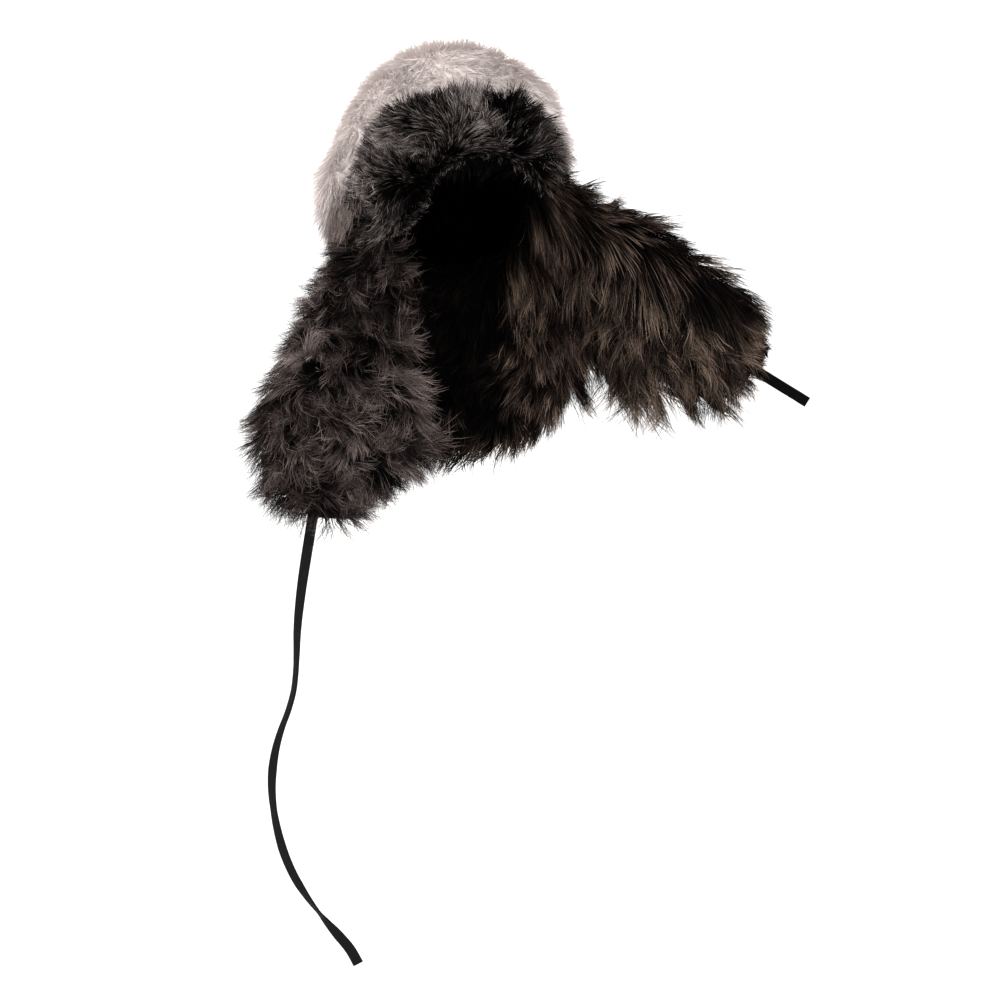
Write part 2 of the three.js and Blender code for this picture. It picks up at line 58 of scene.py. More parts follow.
# Camera, in millimetres: x and z of the photo's centre, distance, and width of the view
PHOTO_CENTRE = (68.4, -361.0)
CAMERA_DISTANCE = 2000.0
VIEW_WIDTH = 950.0
SENSOR = 36.0

# Studio, in metres: each light's name, place, size and power, and where the lights point
WORLD_STRENGTH = 1.08
LIGHTS = [
    ("key", (-1.2, -1.6, 1.3), 1.2, 44),
    ("fill", (1.6, -1.8, 0.4), 1.4, 14),
    ("back", (0.3, 1.4, 1.4), 1.6, 14),
]
LIT_PLACE = (0.05, -0.05, -0.2)
FLOOR_FRONT = -4.0
FLOOR_HEIGHT = -1.02
FLOOR_HALF_WIDTH = 5.0
BACKDROP_AT = 2.2
BACKDROP_TOP = 4.0
BACKDROP_RADIUS = 1.2
BACKDROP_STEPS = 16

# Posture of the worn frame in the held frame, degrees
TIPPED_BACK = 32
LEANING_LEFT = 17
TURNED_RIGHT = 20

# Crown dome to the leather's outer face
HALF_WIDTH = 94
HALF_DEPTH = 104
HEIGHT = 144
BELLY_HEIGHT = 34
RIM_BELOW_BELLY = 34
PLAN_POWER = 2.1
PROFILE_POWER = 2.05
SEAT_HEIGHT = 127.7
LEATHER = 3

# Skin under the crown's fur: how far out of the leather, how much more at its top and cheeks,
# and how far the top sways to the right
CROWN_SKIN_OUT = 8.0
CROWN_TOP_OUT = 10.0
CROWN_CHEEK_OUT = 12.0
CROWN_SWAY = 8.0
LINING_SKIN_IN = 4.0

# Dents in the crown: angle from the front in degrees, climb, radius, depth
DENTS = [(12, 0.86, 20, 8), (118, 0.8, 34, 7)]

# Turned-up brim: angle from the front, height above the rim, depth below it, thickness and spill
BRIM = [
    (-98, 22, 10, 18, 14),
    (-80, 34, 18, 28, 36),
    (-52, 42, 16, 31, 38),
    (-26, 42, 9, 30, 24),
    (0, 38, 6, 28, 14),
    (28, 36, 6, 25, 12),
    (50, 34, 8, 22, 12),
    (64, 24, 8, 15, 8),
]
BRIM_SQUARENESS = 0.8
BRIM_INSET = 12.0
BRIM_OPENING = np.array([49.0, -90.0, -110.0])

# Where the brim's skin lies lower: angle from the front, half width in degrees, drop
BRIM_DROPS = [(-70, 24, 12), (52, 17, 14)]

# Flaps: the ends of the sewn edge in degrees from the front, then a row for each section:
# x, y, z, half width, lean, turn, depth of its inner fur, depth of its outer fur, bow
LEFT_SEWN = (-66, -138)
LEFT_FLAP = [
    (-62, -38, -174, 58, -34, 26, 24, 14, -10),
    (-74, -48, -222, 66, -22, 18, 29, 14, -10),
    (-79, -56, -268, 81, -17, 12, 31, 14, -8),
    (-83, -58, -306, 89, -10, 8, 30, 14, -6),
    (-92, -58, -341, 71, -4, 6, 24, 12, -4),
    (-94, -58, -365, 44, 0, 6, 18, 10, 0),
    (-94, -58, -378, 23, 0, 6, 10, 7, 0),
]
RIGHT_SEWN = (136, 56)
RIGHT_FLAP = [
    (134, -22, -154, 94, 71, -34, 22, 14, -10),
    (176, -34, -169, 83, 66, -22, 27, 14, -8),
    (215, -38, -188, 71, 61, -14, 28, 14, -8),
    (252, -42, -210, 65, 60, -10, 28, 14, -6),
    (284, -42, -224, 51, 58, -8, 24, 12, -4),
    (303, -42, -234, 33, 55, -6, 18, 10, 0),
    (312, -42, -238, 16, 54, -6, 10, 7, 0),
]
NECK_SEWN = (222, 138)
NECK_FLAP = [
    (42, -2, -213, 84, 16, 4, 20, 14, -24),
    (59, -6, -252, 87, 17, 4, 22, 14, -18),
    (66, -8, -278, 77, 17, 4, 20, 13, -12),
    (68, -8, -297, 56, 17, 4, 15, 10, -6),
    (68, -8, -308, 34, 17, 4, 9, 7, 0),
]
SEWN_DEPTH = 15
SEWN_RISE = 2
OVERLAP = 5
FLAP_SQUARENESS = 0.72
SKIN_DEPTH = 0.5
FLAP_STEP = 0.02

# Ties, flat straps: the route of each one's middle in millimetres, x, y, z
TIE_WIDTH = 10.0
TIE_THICKNESS = 2.0
TIE_SIDES = 16
TIE_SQUARENESS = 0.55
LEFT_TIE_ROUTE = [
    (-101.5, -58, -358), (-104.3, -58.5, -376), (-107.4, -59.2, -396), (-110.7, -60, -417),
    (-114.2, -61, -441), (-116.9, -62, -465), (-118.2, -63, -483), (-118.6, -64, -501),
    (-119.4, -64, -519), (-121.6, -63, -537), (-126.6, -61.5, -555), (-133, -60, -572),
    (-138.2, -59, -590), (-141.3, -58.5, -609), (-142, -58.5, -628), (-140, -59, -648),
    (-136, -59.5, -668), (-130, -60, -688), (-121, -60.5, -708), (-109, -61, -727),
    (-95, -61.5, -745), (-81, -62, -761), (-70, -62, -774), (-62, -62, -788),
]
RIGHT_TIE_ROUTE = [
    (272, -42, -219.5), (278.4, -42.1, -223.4), (284.8, -42.2, -227.4), (291.2, -42.4, -231.4),
    (297.6, -42.6, -235.4), (304, -42.8, -239.4), (310.4, -43, -243.4), (316.8, -43.2, -247.3),
    (323.2, -43.4, -251.2), (329.5, -43.6, -255.1), (335.8, -43.8, -259), (342, -44, -262.8),
    (346, -44.1, -265.3), (350, -44.2, -267.8), (354, -44.3, -270.3),
]
# How far each strap is turned about its own line, degrees, at shares of its length: at 0 its
# flat side faces the viewer
LEFT_TIE_TWIST = [
    (0.0, 0), (0.12, 8), (0.22, 30), (0.34, 57), (0.46, 57), (0.56, 32), (0.64, 48),
    (0.72, 30), (0.8, 34), (0.87, 66), (0.93, 14), (1.0, 4),
]
RIGHT_TIE_TWIST = [(0.0, 0), (1.0, 8)]

# Fur of each piece: number of strands, then length in mm, lift in degrees and tone, each as its
# middle, how far it wavers, and over what distance in mm
CROWN_FUR = {"strands": 35000, "length": (20, 2, 50), "lift": (31, 5, 60), "tone": (0.87, 0.05, 70)}
BRIM_FUR = {"strands": 26000, "length": (25, 3, 40), "lift": (36, 7, 40), "tone": (0.24, 0.1, 55)}
LEFT_FUR = {"strands": 26500, "length": (35, 3, 30), "lift": (27, 7, 25), "tone": (0.22, 0.07, 35)}
RIGHT_FUR = {"strands": 20500, "length": (59, 5, 50), "lift": (24, 6, 30), "tone": (0.23, 0.1, 32)}
NECK_FUR = {"strands": 15000, "length": (35, 4, 50), "lift": (26, 6, 30), "tone": (0.3, 0.1, 45)}
OUTER_TONE = (0.88, 0.05, 60)
OUTER_LENGTH = 26
LINING_STRANDS = 9000
LINING_LENGTH = 17
LINING_LIFT = 32.0
# The lining's fur and skin are near black: painted shade of the hollow
LINING_TONE = 0.02

# Tones that a piece's fur may have, and those of the skins under it
CROWN_TONES = (0.43, 1.0)
LINING_TONES = (0.0, 0.12)
DARK_TONES = (0.0, 0.6)
OUTER_TONES = (0.78, 1.0)
DARK_SKIN = 0.05
PALE_SKIN = 0.8
OUTER_SKIN = 0.86
# Painted shade: near-black skin on the crown under the brim, round its hem and on its inner face
SHADED_HIDDEN_SKIN = 0.1

# How fur grows, in strands of so many steps and in so many locks. In degrees, swirl turns
# patches of locks aside, swirl_size mm across, tousle turns each lock, curl bends it along its
# length and wave bends it to and fro, in cycles. In shares, own_curl is the lock's own curl,
# settle the lift lost at the tip, droop the pull of gravity, clump how far strands close up to
# their lock, stray how many leave it, stray_spread and frizz how far they spread, blend how much
# a lock follows its neighbours, ragged how much shorter strands may be, lock_tone and
# strand_tone how tones vary, and twist how unevenly strands face outward. Width is in mm
MAIN_STYLE = {
    "steps": 4, "locks": 1800, "swirl": 20, "swirl_size": 60, "tousle": 12, "curl": 40, "wave": 8,
    "cycles": 1.0, "settle": 0.5, "droop": 0.1, "clump": 0.5, "stray": 0.05, "stray_spread": 0.15,
    "frizz": 0.07, "lock_tone": 0.06, "strand_tone": 0.06, "width": 0.65, "blend": 0.85,
    "ragged": 0.35, "own_curl": 0.3, "twist": 0.5,
}
CROWN_STYLE = MAIN_STYLE | {
    "steps": 3, "locks": 5000, "swirl": 22, "tousle": 10, "curl": 20, "settle": 0.35,
    "clump": 0.12, "stray": 0.03, "frizz": 0.13, "lock_tone": 0.02, "strand_tone": 0.03,
    "width": 0.62, "blend": 1.0, "twist": 0.35,
}
LINING_STYLE = MAIN_STYLE | {"steps": 3, "locks": 1200, "lock_tone": 0.03, "width": 1.4}
BRIM_STYLE = MAIN_STYLE | {
    "swirl": 24, "swirl_size": 40, "tousle": 12, "curl": 45, "clump": 0.45, "lock_tone": 0.07,
    "strand_tone": 0.13, "width": 0.6,
}
LEFT_STYLE = MAIN_STYLE | {
    "locks": 3200, "swirl": 60, "swirl_size": 34, "tousle": 24, "curl": 95, "wave": 24,
    "cycles": 1.2, "clump": 0.7, "stray": 0.06, "frizz": 0.06, "lock_tone": 0.1,
    "strand_tone": 0.05, "width": 0.42, "blend": 0.6, "ragged": 0.4, "own_curl": 0.45,
}
RIGHT_STYLE = MAIN_STYLE | {
    "steps": 5, "locks": 1000, "swirl": 34, "swirl_size": 50, "tousle": 14, "curl": 48,
    "wave": 44, "cycles": 1.1, "droop": 0.8, "clump": 0.78, "frizz": 0.05, "lock_tone": 0.1,
    "strand_tone": 0.07, "width": 0.58, "blend": 0.42, "ragged": 0.28,
}
NECK_STYLE = MAIN_STYLE | {
    "locks": 800, "swirl": 18, "tousle": 10, "curl": 35, "wave": 26, "droop": 0.6, "clump": 0.7,
    "lock_tone": 0.08, "blend": 0.4,
}

# Painted highlights and shade on the flaps' fur, as patches: x, z, half width, half height and change of
# tone
LEFT_PAINTED_PATCHES = [
    (-108, -232, 36, 14, 0.2),
    (-27, -238, 22, 26, 0.2),
    (-60, -195, 24, 30, -0.12),
    (-105, -350, 24, 22, -0.1),
    (-60, -300, 30, 24, 0.05),
]
RIGHT_PAINTED_PATCHES = [
    (186, -124, 22, 24, 0.08),
    (234, -146, 22, 16, 0.22),
    (218, -196, 36, 24, 0.08),
    (286, -194, 26, 22, 0.14),
    (150, -112, 12, 12, -0.14),
]

# Tufts and gaps along the right flap's lower edge, then along its upper edge: x, half width,
# share added to the fur's length
RIGHT_TUFTS = [(138, 10, 0.25), (157, 11, -0.36), (194, 17, 0.42), (238, 7, -0.15), (252, 11, 0.35)]
RIGHT_FRINGE = [(142, 10, -0.28), (200, 14, -0.12), (238, 20, 0.26)]

# Places seen from the front, x, z, half width and half height: where the crown catches the most light
# and its fur is toned down by painted shade, and where the right tie leaves its flap
CROWN_PAINTED_SHADE = (38, 34, 50, 28)
TIE_EXIT = (298, -232, 22, 14)

# Tones run from dark fur (0 to 0.6) to pale fur (0.8 to 1). Each row gives the colour of a
# strand's root, middle and tip
OUTSIDE_ROWS = [
    (0.8, (150, 135, 130), (205, 192, 188), (228, 217, 213)),
    (1.0, (150, 135, 130), (218, 206, 202), (238, 228, 225)),
]
BRIM_TONES = [
    (0.0, (1, 1, 1), (1, 1, 1), (3, 2, 2)),
    (0.16, (1, 1, 1), (5, 4, 4), (32, 28, 27)),
    (0.3, (1, 1, 1), (9, 8, 7), (100, 91, 88)),
    (0.6, (2, 2, 2), (42, 37, 35), (206, 194, 189)),
    *OUTSIDE_ROWS,
]
LEFT_TONES = [
    (0.0, (1, 1, 1), (1, 1, 1), (4, 3, 3)),
    (0.16, (1, 1, 1), (8, 6, 6), (38, 32, 31)),
    (0.3, (2, 2, 2), (24, 20, 20), (100, 87, 84)),
    (0.6, (6, 4, 4), (62, 53, 51), (184, 166, 160)),
    *OUTSIDE_ROWS,
]
RIGHT_TONES = [
    (0.0, (1, 1, 1), (1, 1, 1), (2, 1, 1)),
    (0.16, (1, 1, 1), (6, 4, 4), (24, 19, 16)),
    (0.3, (1, 1, 1), (13, 10, 9), (74, 61, 53)),
    (0.6, (4, 3, 3), (56, 45, 38), (172, 147, 130)),
    *OUTSIDE_ROWS,
]
# The crown's own: near black as painted shade where its skin is hidden, brown as painted shade at its
# foot, then pale
PALE_TONES = [
    (0.3, (3, 2, 2), (5, 4, 4), (8, 7, 7)),
    (0.45, (96, 84, 79), (120, 106, 100), (150, 136, 131)),
    (0.6, (204, 193, 189), (204, 193, 189), (204, 193, 189)),
    # Painted light: the palest row is lighter at the root than at the tip, to even out the shade deep in
    # the fur
    (1.0, (240, 232, 229), (236, 228, 225), (230, 221, 218)),
]


def placed(name, data):
    """A new object in the scene."""
    made = bpy.data.objects.new(name, data)
    bpy.context.collection.objects.link(made)
    return made


def make_camera():
    data = bpy.data.cameras.new("camera")
    data.sensor_width = SENSOR
    data.lens = SENSOR * CAMERA_DISTANCE / VIEW_WIDTH
    camera = placed("camera", data)
    camera.location = (PHOTO_CENTRE[0] * METRES, -CAMERA_DISTANCE * METRES, PHOTO_CENTRE[1] * METRES)
    camera.rotation_euler = (math.radians(90), 0, 0)
    bpy.context.scene.camera = camera


def linear(colour):
    """A colour given as 0 to 255 in the screen's scale, as the shader's linear numbers."""
    shares = np.asarray(colour, float) / 255
    low = shares / 12.92
    high = ((shares + 0.055) / 1.055) ** 2.4
    return (*np.where(shares <= 0.04045, low, high).tolist(), 1.0)


def unit(vectors):
    return vectors / np.maximum(np.linalg.norm(vectors, axis=-1, keepdims=True), 1e-9)


def signed_power(value, power):
    return np.sign(value) * np.abs(value) ** power


def smoothstep(value, low, high):
    share = np.clip((value - low) / (high - low), 0, 1)
    return share * share * (3 - 2 * share)


def bell(value, middle, half_width):
    """1 at the middle, falling smoothly to almost nothing two half widths away."""
    return np.exp(-(((value - middle) / half_width) ** 2))


def spot(point, x, z, wide, tall):
    """1 at a place seen from the front, falling smoothly to almost nothing round it."""
    return np.exp(-(((point[:, 0] - x) / wide) ** 2 + ((point[:, 2] - z) / tall) ** 2))


def held_matrix():
    """The worn frame's place in the held frame, in millimetres."""
    turn = Matrix.Rotation(math.radians(-LEANING_LEFT), 4, "Y")
    turn = turn @ Matrix.Rotation(math.radians(-TIPPED_BACK), 4, "X")
    turn = turn @ Matrix.Rotation(math.radians(TURNED_RIGHT), 4, "Z")
    return np.array(turn @ Matrix.Translation((0, 0, -SEAT_HEIGHT)))


HELD = held_matrix()
CROWNWARD = HELD[:3, 2]


def to_held(points):
    return points @ HELD[:3, :3].T + HELD[:3, 3]


def dome_profile(climb, out):
    """The dome's girth as a share of its belly, and its height, at a climb from 0 to 1."""
    turn = np.radians(climb * (90 + RIM_BELOW_BELLY) - RIM_BELOW_BELLY)
    girth = np.maximum(np.cos(turn), 0) ** (2 / PROFILE_POWER)
    rise = np.sin(turn)
    drop = np.maximum(-rise, 0) / math.sin(math.radians(RIM_BELOW_BELLY))
    below = BELLY_HEIGHT * (1 - drop ** (2 / PROFILE_POWER))
    above = BELLY_HEIGHT + (HEIGHT + out - BELLY_HEIGHT) * np.maximum(rise, 0) ** (2 / PROFILE_POWER)
    return girth, np.where(rise < 0, below, above)


def smooth_dome_point(angle, climb, out):
    girth, height = dome_profile(climb, out)
    aside = out * np.minimum(1, 3 * girth)
    x = (HALF_WIDTH * girth + aside) * signed_power(np.sin(angle), 2 / PLAN_POWER)
    y = -(HALF_DEPTH * girth + aside) * signed_power(np.cos(angle), 2 / PLAN_POWER)
    return np.stack(np.broadcast_arrays(x, y, height), axis=-1)


def dome_point(angle, climb, out):
    """A point of the dome in the worn frame, out of the leather's face, with the crown's dents."""
    angle, climb, out = np.broadcast_arrays(*(np.asarray(part, float) for part in (angle, climb, out)))
    point = smooth_dome_point(angle, climb, out)
    on_leather = smooth_dome_point(angle, climb, 0 * out)
    inward = unit(np.array([0, 0, BELLY_HEIGHT]) - on_leather)
    for dent_angle, dent_climb, radius, depth in DENTS:
        middle = smooth_dome_point(math.radians(dent_angle), dent_climb, 0.0)
        away = np.linalg.norm(on_leather - middle, axis=-1) / radius
        point = point + inward * (depth * np.exp(-away * away))[..., None]
    return point


CLIMBS = np.linspace(0, 1, 400)
CLIMB_HEIGHTS = dome_profile(CLIMBS, 0.0)[1]


def climb_at(height):
    return np.interp(height, CLIMB_HEIGHTS, CLIMBS)


def row_at(rows, along):
    """The columns of a table at a place between 0 and 1 along it, each on a smooth curve."""
    table = np.asarray(rows, float)
    last = len(table) - 1
    place = np.clip(along, 0, 1) * last
    before = np.minimum(np.floor(place).astype(int), last - 1)
    share = (place - before)[..., None]
    at = [table[np.clip(before + step, 0, last)] for step in (-1, 0, 1, 2)]
    cube = share**3
    square = share**2
    columns = (2 * cube - 3 * square + 1) * at[1]
    columns = columns + (cube - 2 * square + share) * (at[2] - at[0]) / 2
    columns = columns + (3 * square - 2 * cube) * at[2]
    columns = columns + (cube - square) * (at[3] - at[1]) / 2
    return np.moveaxis(columns, -1, 0)


def sewn_row(sewn):
    """The table row of a flap's sewn edge, worked out from the rim that it is sewn to."""

    def rim_at(degrees):
        point = dome_point(math.radians(degrees), 0.0, -LEATHER)
        point[2] = SEWN_RISE
        return to_held(point)

    start = rim_at(sewn[0])
    end = rim_at(sewn[1])
    middle = (start + end) / 2
    width = unit(end - start)
    bulge = np.linalg.norm(rim_at(sum(sewn) / 2) - middle)
    half = np.linalg.norm(end - start) / 2
    lean = math.degrees(math.atan2(width[2], width[0]))
    turn = math.degrees(math.asin(width[1]))
    return (*middle, half, lean, turn, SEWN_DEPTH, SEWN_DEPTH, -bulge)


def flap_surface(sewn, rows, inset, sideways=0.0):
    """The skin of a flap: its fur's outline drawn in by inset at the edges and thinned."""
    table = [sewn_row(sewn), *rows]

    def surface(along, around):
        x, y, z, half, lean, turn, inner, outer, bow = row_at(table, along)
        ahead = row_at(table, along + FLAP_STEP)[:3]
        behind = row_at(table, along - FLAP_STEP)[:3]
        lean = np.radians(lean)
        turn = np.radians(turn)
        width = np.stack([np.cos(lean) * np.cos(turn), np.sin(turn), np.sin(lean) * np.cos(turn)], -1)
        face = unit(np.cross(np.moveaxis(ahead - behind, 0, -1), width))
        across = signed_power(np.cos(around * FULL_TURN), FLAP_SQUARENESS)
        depth = signed_power(np.sin(around * FULL_TURN), FLAP_SQUARENESS)
        thick = np.where(depth > 0, inner, outer) * SKIN_DEPTH
        drawn_in = smoothstep(along, 0, 0.15)
        reach = np.maximum(half + OVERLAP * (1 - drawn_in) - inset * drawn_in, 0.15 * half)
        point = np.stack([x + sideways, y, z], -1) + width * (across * reach)[..., None]
        return point + face * (depth * thick + bow * (1 - across * across))[..., None]

    return surface


def brim_drop(degrees):
    return sum(drop * bell(degrees, at, wide) for at, wide, drop in BRIM_DROPS)


def brim_surface(inset):
    """The skin of the brim: its fur's outline drawn in by inset, less so at its foot and back."""

    def surface(along, around):
        angle, height, below, thick, spill = row_at(BRIM, along)
        height = height - brim_drop(angle)
        upward = signed_power(np.sin(around * FULL_TURN), BRIM_SQUARENESS)
        outward = signed_power(np.cos(around * FULL_TURN), BRIM_SQUARENESS)
        tall = (height + below) / 2
        rise = tall - below + upward * np.maximum(tall - inset * (0.7 + 0.3 * upward), 2)
        spill = spill * smoothstep(-rise, -16, below / 2)
        half = (thick + spill) / 2
        out = thick - half + outward * np.maximum(half - inset * (0.6 + 0.4 * outward), 2)
        point = dome_point(np.radians(angle), climb_at(rise), out)
        point[..., 2] = np.where(rise < 0, rise, point[..., 2])
        return to_held(point)

    return surface


def left_cheek(along, around):
    """Where the crown is fullest: low on its left side, as a share."""
    return bell(around * 360, 252, 30) * smoothstep(along, 0.4, 0.62)


def right_cheek(along, around):
    """The crown's lesser fullness, over the brim's right end, as a share."""
    height = smoothstep(along, 0.3, 0.45) * smoothstep(along, 0.85, 0.65)
    return bell(around * 360, 66, 28) * height


def dome_surface(out, more_at_top=0.0, sway=0.0, cheek=0.0):
    """The dome moved out of the leather's face, more so at its top, which may sway to one side."""

    def surface(along, around):
        top = smoothstep(1 - along, 0.2, 0.75)
        away = out + more_at_top * top + cheek * left_cheek(along, around)
        away = away + 0.5 * cheek * right_cheek(along, around)
        point = to_held(dome_point(around * FULL_TURN, 1 - along, away))
        point[..., 0] += sway * top
        return point

    return surface


def waves(rng, wavelength, count=9):
    """A smooth random field of 3-D points, about -1 to 1."""
    heading = unit(rng.normal(size=(count, 3))) * 2 * np.pi / wavelength
    heading = heading * rng.uniform(0.6, 1.5, (count, 1))
    phase = rng.uniform(0, 2 * np.pi, count)
    return lambda points: np.sin(points @ heading.T + phase).sum(-1) / math.sqrt(count / 1.4)


def wavering(rng, row, point):
    """A value at each point from its middle, how far it wavers, and over what distance."""
    middle, swing, wavelength = row
    return middle + swing * waves(rng, wavelength)(point)


def scatter_roots(rng, surface, count, density, inside=None):
    """Roots spread evenly over a surface of two numbers, with their outward normals."""
    cells = 60
    middles = (np.arange(cells) + 0.5) / cells
    along, around = np.meshgrid(middles, middles, indexing="ij")
    along = along.ravel()
    around = around.ravel()
    one = surface(along + 0.5 / cells, around) - surface(along - 0.5 / cells, around)
    two = surface(along, around + 0.5 / cells) - surface(along, around - 0.5 / cells)
    weight = np.linalg.norm(np.cross(one, two), axis=-1) * density(along, around)
    cell = rng.choice(len(weight), count, p=weight / weight.sum())
    along = np.clip(along[cell] + rng.uniform(-0.5, 0.5, count) / cells, 0.002, 0.998)
    around = around[cell] + rng.uniform(-0.5, 0.5, count) / cells
    step = 0.004
    point = surface(along, around)
    one = surface(along + step, around) - surface(along - step, around)
    two = surface(along, around + step) - surface(along, around - step)
    normal = unit(np.cross(one, two))
    within = (point + surface(along, around + 0.5)) / 2 if inside is None else inside
    outward = np.einsum("ij,ij->i", normal, point - within)
    normal = normal * np.sign(np.median(outward))
    return {"along": along, "around": around % 1, "point": point, "normal": normal}


def turned(vectors, axes, angles):
    """Vectors turned about axes, by angles in radians."""
    cosine = np.cos(angles)[..., None]
    sine = np.sin(angles)[..., None]
    dot = np.sum(vectors * axes, axis=-1, keepdims=True)
    return vectors * cosine + np.cross(axes, vectors) * sine + axes * dot * (1 - cosine)


def nearest(points, centres, few=3, batch=2000):
    """The few centres that are nearest to each point, nearest first, and their weights."""
    chosen = np.empty((len(points), few), int)
    weight = np.empty((len(points), few))
    for start in range(0, len(points), batch):
        part = slice(start, start + batch)
        away = ((points[part, None] - centres[None]) ** 2).sum(-1)
        close = np.argpartition(away, few, axis=1)[:, :few]
        close = np.take_along_axis(close, np.take_along_axis(away, close, 1).argsort(1), 1)
        chosen[part] = close
        weight[part] = 1 / (np.take_along_axis(away, close, 1) + 4)
    return chosen, weight / weight.sum(1, keepdims=True)


def grow_locks(rng, roots, style, heads):
    """The path of each lock's middle from its head, for a strand one millimetre long."""
    point, normal, comb = roots["point"], roots["normal"], roots["comb"]
    steps = style["steps"]
    shares = (np.arange(steps) + 0.5) / steps
    along_surface = comb - normal * np.sum(comb * normal, -1, keepdims=True)
    flat = unit(along_surface)[heads]
    wild = np.broadcast_to(roots.get("wild", 1.0), len(point))[heads]
    swirl = np.radians(style["swirl"]) * waves(rng, style["swirl_size"])(point[heads])
    swirl = swirl + np.radians(style["tousle"]) * rng.normal(size=len(heads))
    flat = turned(flat, normal[heads], swirl * wild)
    curling = waves(rng, style["swirl_size"])(point[heads])
    curling = curling + style["own_curl"] * rng.normal(size=len(heads))
    bend = np.radians(style["curl"]) * curling[:, None] * shares
    phase = rng.uniform(0, 1, (len(heads), 1))
    bend = bend + np.radians(style["wave"]) * np.sin(2 * np.pi * (style["cycles"] * shares + phase))
    outward = np.repeat(normal[heads][:, None], steps, 1)
    course = turned(np.repeat(flat[:, None], steps, 1), outward, bend * wild[:, None])
    lift = np.radians(roots["lift"][heads])[:, None] * rng.uniform(0.75, 1.25, (len(heads), 1))
    lift = lift * (1 - style["settle"] * shares)
    course = course * np.cos(lift)[..., None] + outward * np.sin(lift)[..., None]
    course[..., 2] -= style["droop"] * shares
    lock_length = rng.uniform(0.9, 1.1, (len(heads), 1, 1))
    course = unit(course) * lock_length / steps
    return np.concatenate([np.zeros((len(heads), 1, 3)), np.cumsum(course, 1)], 1)


def grow(rng, roots, style):
    """The paths of all strands, gathered into locks that bend, curl and droop together."""
    point = roots["point"]
    count = len(point)
    heads = rng.choice(count, style["locks"], replace=False)
    close, weight = nearest(point, point[heads])
    lock = close[:, 0]
    guide = grow_locks(rng, roots, style, heads)
    shared = (guide[close] * weight[..., None, None]).sum(1)
    blend = np.broadcast_to(roots.get("blend", style["blend"]), count)[:, None, None]
    guide = guide[lock] + blend * (shared - guide[lock])
    length = roots["length"] * rng.uniform(1 - style["ragged"], 1.1, count)
    clump = style["clump"] * rng.uniform(0.6, 1.15, count) * roots.get("gather", 1)
    stray = rng.random(count) < style["stray"]
    clump = np.where(stray, 0.1, clump)
    length = np.where(stray, length * rng.uniform(0.9, 1.2, count), length)
    spread = np.where(stray, style["stray_spread"], style["frizz"])
    shares = np.linspace(0, 1, style["steps"] + 1)
    path = point[:, None] + guide * length[:, None, None]
    gather = (point[heads][lock] - point)[:, None] * clump[:, None, None]
    path = path + gather * (shares**1.3)[None, :, None]
    loose = rng.normal(size=(count, 1, 3)) * (spread * length)[:, None, None]
    path = path + loose * (shares**1.6)[None, :, None]
    tone = roots["tone"] + style["lock_tone"] * rng.normal(size=len(heads))[lock]
    tone = tone + style["strand_tone"] * rng.normal(size=count)
    low, high = roots["tone_range"]
    return path, np.clip(tone, low, high)


def ribbons(rng, path, normal, tone, width, twist):
    """Each path as a flat ribbon that narrows to its tip: vertices, faces and a map."""
    count, rings = path.shape[:2]
    heading = unit(np.gradient(path, axis=1))
    out = normal[:, None] + twist * rng.normal(size=(count, 1, 3))
    across = unit(np.cross(heading, out))
    shares = np.linspace(0, 1, rings)
    half = 0.5 * np.reshape(width, (-1, 1)) * rng.uniform(0.75, 1.25, (count, 1))
    half = half * (1 - 0.75 * shares**2)[None]
    left = path - across * half[..., None]
    right = path + across * half[..., None]
    body = np.stack([left[:, :-1], right[:, :-1]], 2).reshape(count, -1, 3)
    points = np.concatenate([body, path[:, -1:]], 1)
    each = points.shape[1]
    base = np.arange(count)[:, None] * each
    quads = [base + 2 * ring + np.array([0, 1, 3, 2]) for ring in range(rings - 2)]
    quads = np.stack(quads, 1).reshape(-1, 4)
    tips = (base + each - np.array([3, 2, 1])).reshape(-1, 3)
    tones = np.repeat(tone[:, None], each, 1)
    map_half_width = 0.006
    tones[:, 0 : each - 1 : 2] -= map_half_width
    tones[:, 1 : each - 1 : 2] += map_half_width
    heights = np.concatenate([np.repeat(shares[:-1], 2), [1.0]])
    places = np.stack([tones, np.broadcast_to(heights, tones.shape)], -1)
    return points.reshape(-1, 3), quads, tips, places.reshape(-1, 2)


def tube_faces(rings, sides):
    """The faces that join rings of points into a tube, then those that close its two ends.

    Each end closes to a point of its own, after all of the rings' points.
    """
    index = np.arange(rings * sides).reshape(rings, sides)
    after = np.roll(index, -1, 1)
    quads = np.stack([index[:-1], after[:-1], after[1:], index[1:]], -1).reshape(-1, 4)
    middle = index.size
    first = np.stack([np.full(sides, middle), after[0], index[0]], -1)
    last = np.stack([np.full(sides, middle + 1), index[-1], after[-1]], -1)
    return quads, np.concatenate([first, last])


def skin_grid(surface, rows, sides, tone, caps=True, patch=None):
    """A surface of two numbers as a mesh, closed round its sections and, with caps, at its ends.

    A patch is a tone and a test of the two numbers that says where the skin has it.
    """
    along, around = np.meshgrid(np.linspace(0, 1, rows + 1), np.arange(sides) / sides, indexing="ij")
    points = surface(along, around)
    quads, tips = tube_faces(rows + 1, sides)
    tones = tone + 0.02 * (around - 0.5)
    if patch is not None:
        tones = np.where(patch[1](along, around), patch[0], tones)
    flat = points.reshape(-1, 3)
    places = np.stack([tones, 0.02 + 0.04 * along], -1).reshape(-1, 2)
    if not caps:
        return flat, quads, tips[:0], places
    flat = np.concatenate([flat, [points[0].mean(0), points[-1].mean(0)]])
    places = np.concatenate([places, [[tone, 0.01], [tone, 0.07]]])
    return flat, quads, tips, places


def joined(parts):
    points, quads, tips, places = [], [], [], []
    start = 0
    for part in parts:
        points.append(part[0])
        quads.append(part[1] + start)
        tips.append(part[2] + start)
        places.append(part[3])
        start += len(part[0])
    return [np.concatenate(column) for column in (points, quads, tips, places)]


